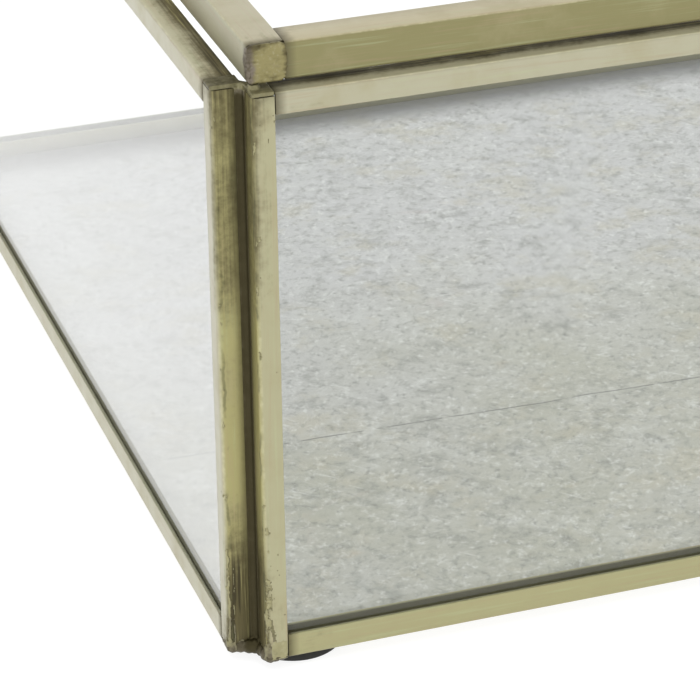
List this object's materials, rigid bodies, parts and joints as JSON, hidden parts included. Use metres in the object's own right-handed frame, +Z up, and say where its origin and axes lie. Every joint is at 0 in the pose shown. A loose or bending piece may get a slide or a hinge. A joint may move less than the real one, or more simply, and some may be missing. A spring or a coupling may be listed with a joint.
{
  "type": "jewelry box",
  "caption": "Rectangular glass jewelry box with soldered brass edging, a zinc floor, round feet and a glass lid that swings up on hinges along the back.",
  "frame": {"origin": "on the ground, under the middle of the box's outer box, hinges included", "axes": "+X along the length, to the right seen from the front; -Y is the front, +Y the hinge side; +Z up"},
  "size_m": [0.25, 0.1764, 0.0861],
  "materials": {
    "wall_glass": "clear float glass, polished",
    "lid_glass": "clear float glass, polished",
    "wall_came": "folded strip brass, dull, with brown patina by the joints",
    "lid_came": "folded strip brass, dull, with brown patina by the joints",
    "solder": "lumpy soft solder, brown-black patina",
    "floor": "galvanised zinc sheet, cloudy and lightly scratched",
    "hinge": "drawn brass tube and rod, dull",
    "foot": "black rubber, matte"
  },
  "bodies": {
    "base": {"front_left_stile": "wall_came", "front_right_stile": "wall_came", "front_top_rail": "wall_came", "front_bottom_rail": "wall_came", "front_glass": "wall_glass", "back_left_stile": "wall_came", "back_right_stile": "wall_came", "back_top_rail": "wall_came", "back_bottom_rail": "wall_came", "back_glass": "wall_glass", "left_left_stile": "wall_came", "left_right_stile": "wall_came", "left_top_rail": "wall_came", "left_bottom_rail": "wall_came", "left_glass": "wall_glass", "right_left_stile": "wall_came", "right_right_stile": "wall_came", "right_top_rail": "wall_came", "right_bottom_rail": "wall_came", "right_glass": "wall_glass", "corner_solder_front_left": "solder", "foot_front_left": "foot", "corner_solder_front_right": "solder", "foot_front_right": "foot", "corner_solder_back_left": "solder", "foot_back_left": "foot", "corner_solder_back_right": "solder", "foot_back_right": "foot", "zinc_floor": "floor", "hinge_left_outer_tube": "hinge", "hinge_left_inner_tube": "hinge", "hinge_left_pin": "hinge", "hinge_right_outer_tube": "hinge", "hinge_right_inner_tube": "hinge", "hinge_right_pin": "hinge"},
    "lid": {"hinge_left_lid_tube": "hinge", "hinge_right_lid_tube": "hinge", "lid_front_rail": "lid_came", "lid_back_rail": "lid_came", "lid_left_rail": "lid_came", "lid_right_rail": "lid_came", "lid_glass": "lid_glass", "lid_solder_front_left": "solder", "lid_solder_front_right": "solder", "lid_solder_back_left": "solder", "lid_solder_back_right": "solder"}
  },
  "joints": [
    {"name": "lid_hinge", "type": "hinge", "parent": "base", "child": "lid", "pos_m": [0, 0.08412, 0.08085], "axis": [-1, 0, 0], "range_deg": [0, 110]}
  ]
}
